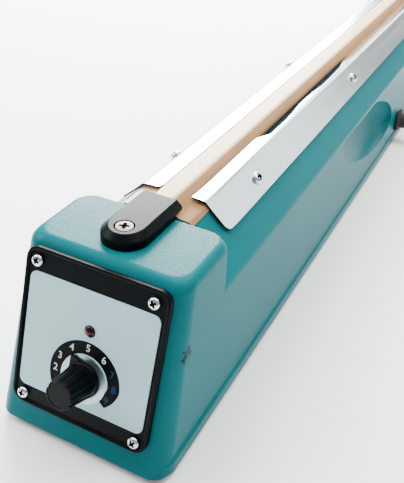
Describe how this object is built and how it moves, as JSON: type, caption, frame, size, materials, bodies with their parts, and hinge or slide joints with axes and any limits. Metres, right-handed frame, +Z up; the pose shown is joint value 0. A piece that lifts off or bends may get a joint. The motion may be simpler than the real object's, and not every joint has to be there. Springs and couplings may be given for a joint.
{
  "type": "bag sealer",
  "caption": "Hand bag sealer: cast body with a long cloth-covered heating bar between steel side plates, a sprung pressing arm hinged at the rear, and a timer dial on the front panel.",
  "frame": {"origin": "middle of the bounding box in plan, at the level of the undersides of the feet", "axes": "+Y from the front panel towards the hinge, +Z up, +X to the right as seen from the front panel"},
  "size_m": [0.111, 0.6732, 0.4536],
  "materials": {
    "painted_casting": "satin paint with a slight orange peel",
    "black_plastic": "satin",
    "knob_plastic": "semi-gloss",
    "bright_steel": "cold rolled, fine scratches",
    "zinc_steel": "zinc plated",
    "aluminium": "extruded, satin",
    "black_rubber": "matte",
    "silicone": "matte",
    "coated_cloth": "coated glass cloth, satin",
    "printed_dial": "anodised and printed",
    "red_lens": "clear tinted",
    "brass": "plain",
    "board": "solder-resist lacquer",
    "bakelite": "moulded",
    "copper": "enamelled copper winding",
    "laminations": "stacked sheet steel"
  },
  "bodies": {
    "body": {"body_casting": "painted_casting", "base_plate": "zinc_steel", "potentiometer": "zinc_steel", "potentiometer_nut": "zinc_steel", "transformer_strap": "zinc_steel", "microswitch_bracket": "zinc_steel", "pin_clip": "zinc_steel", "base_screw_front_left": "zinc_steel", "foot_front_left": "black_rubber", "base_screw_front_right": "zinc_steel", "foot_front_right": "black_rubber", "base_screw_rear_left": "zinc_steel", "foot_rear_left": "black_rubber", "base_screw_rear_right": "zinc_steel", "foot_rear_right": "black_rubber", "front_bezel": "black_plastic", "front_cap": "black_plastic", "rear_cap": "black_plastic", "microswitch": "black_plastic", "cord_bush": "black_plastic", "dial_plate": "printed_dial", "bezel_screw_upper_left": "bright_steel", "bezel_screw_upper_right": "bright_steel", "bezel_screw_lower_left": "bright_steel", "bezel_screw_lower_right": "bright_steel", "indicator_lens": "red_lens", "timer_board": "board", "sealing_bar": "bakelite", "front_terminal_insulator": "bakelite", "rear_terminal_insulator": "bakelite", "heating_element": "bright_steel", "left_plate": "bright_steel", "right_plate": "bright_steel", "front_cap_screw": "bright_steel", "rear_cap_screw": "bright_steel", "rod_spring": "bright_steel", "hinge_pin": "bright_steel", "sealing_cloth": "coated_cloth", "left_plate_screw_front": "bright_steel", "left_plate_screw_middle": "bright_steel", "left_plate_screw_rear": "bright_steel", "right_plate_screw_front": "bright_steel", "right_plate_screw_middle": "bright_steel", "right_plate_screw_rear": "bright_steel", "front_lead": "brass", "rear_lead": "brass", "transformer_core": "laminations", "transformer_coil": "copper"},
    "arm": {"arm_casting": "painted_casting", "pressure_bar": "aluminium", "pressing_rubber": "silicone", "arm_screw_front": "bright_steel", "arm_screw_middle": "bright_steel", "arm_screw_rear": "bright_steel", "arm_grip": "black_plastic", "grip_screw": "bright_steel"},
    "rod": {"push_rod": "bright_steel"},
    "button": {"microswitch_button": "red_lens"},
    "knob": {"timer_knob": "knob_plastic", "potentiometer_shaft": "aluminium"}
  },
  "joints": [
    {"name": "arm_hinge", "type": "hinge", "parent": "body", "child": "arm", "pos_m": [-0.01163, 0.31796, 0.1017], "axis": [1, 0, 0], "range_deg": [0, 30], "stiffness_Nm_per_rad": 2, "springref_deg": -94.54},
    {"name": "push_rod_slide", "type": "slide", "parent": "body", "child": "rod", "axis": [0, 0, -1], "range_m": [0, 0.0112], "deforming": ["rod_spring"]},
    {"name": "switch_button_slide", "type": "slide", "parent": "body", "child": "button", "axis": [0, 0, -1], "range_m": [0, 0.001]},
    {"name": "knob_turn", "type": "hinge", "parent": "body", "child": "knob", "pos_m": [-0.01113, -0.31809, 0.0371], "axis": [0, -0.9542, 0.299], "range_deg": [-148, 85]}
  ],
  "couplings": [
    {"joint": "push_rod_slide", "follows": "arm_hinge", "m_per_rad": 0.021363},
    {"joint": "switch_button_slide", "follows": "arm_hinge", "m_per_rad": 0.0019099}
  ]
}
